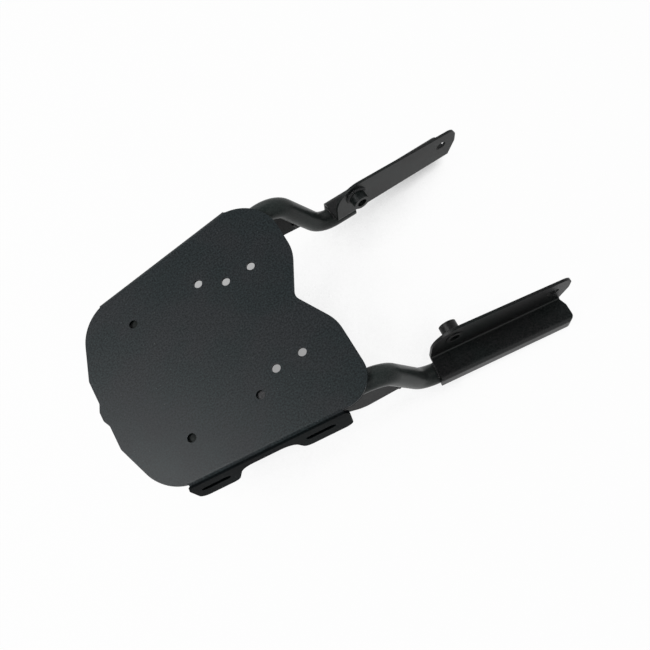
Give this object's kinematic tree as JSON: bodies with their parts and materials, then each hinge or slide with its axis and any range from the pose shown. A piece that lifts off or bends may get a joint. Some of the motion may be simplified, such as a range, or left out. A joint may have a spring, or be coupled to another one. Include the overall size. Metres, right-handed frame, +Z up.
{
  "type": "motorcycle luggage rack",
  "caption": "Motorcycle luggage rack: a folded top plate with strap slots on a bent tube, with two slanting arms that bolt to the bike.",
  "frame": {"origin": "on the top face of the plate, in the middle of the four bolt holes for a top case", "axes": "X forward along the bike, Y to the left, Z up; the plate is level"},
  "size_m": [0.4473, 0.2572, 0.135],
  "materials": {
    "black_powder_coat": "matte black powder coat with a fine grain"
  },
  "bodies": {
    "root": {"top_plate": "black_powder_coat", "frame_tube": "black_powder_coat", "left_gusset": "black_powder_coat", "right_gusset": "black_powder_coat", "left_arm": "black_powder_coat", "right_arm": "black_powder_coat", "left_boss": "black_powder_coat", "right_boss": "black_powder_coat", "right_hole_cover": "black_powder_coat", "cross_run_welds": "black_powder_coat", "left_arm_welds": "black_powder_coat", "left_boss_weld": "black_powder_coat", "left_gusset_welds": "black_powder_coat", "left_run_welds": "black_powder_coat", "left_web_weld": "black_powder_coat", "right_arm_welds": "black_powder_coat", "right_boss_weld": "black_powder_coat", "right_gusset_welds": "black_powder_coat", "right_run_welds": "black_powder_coat", "right_web_weld": "black_powder_coat"}
  },
  "joints": []
}
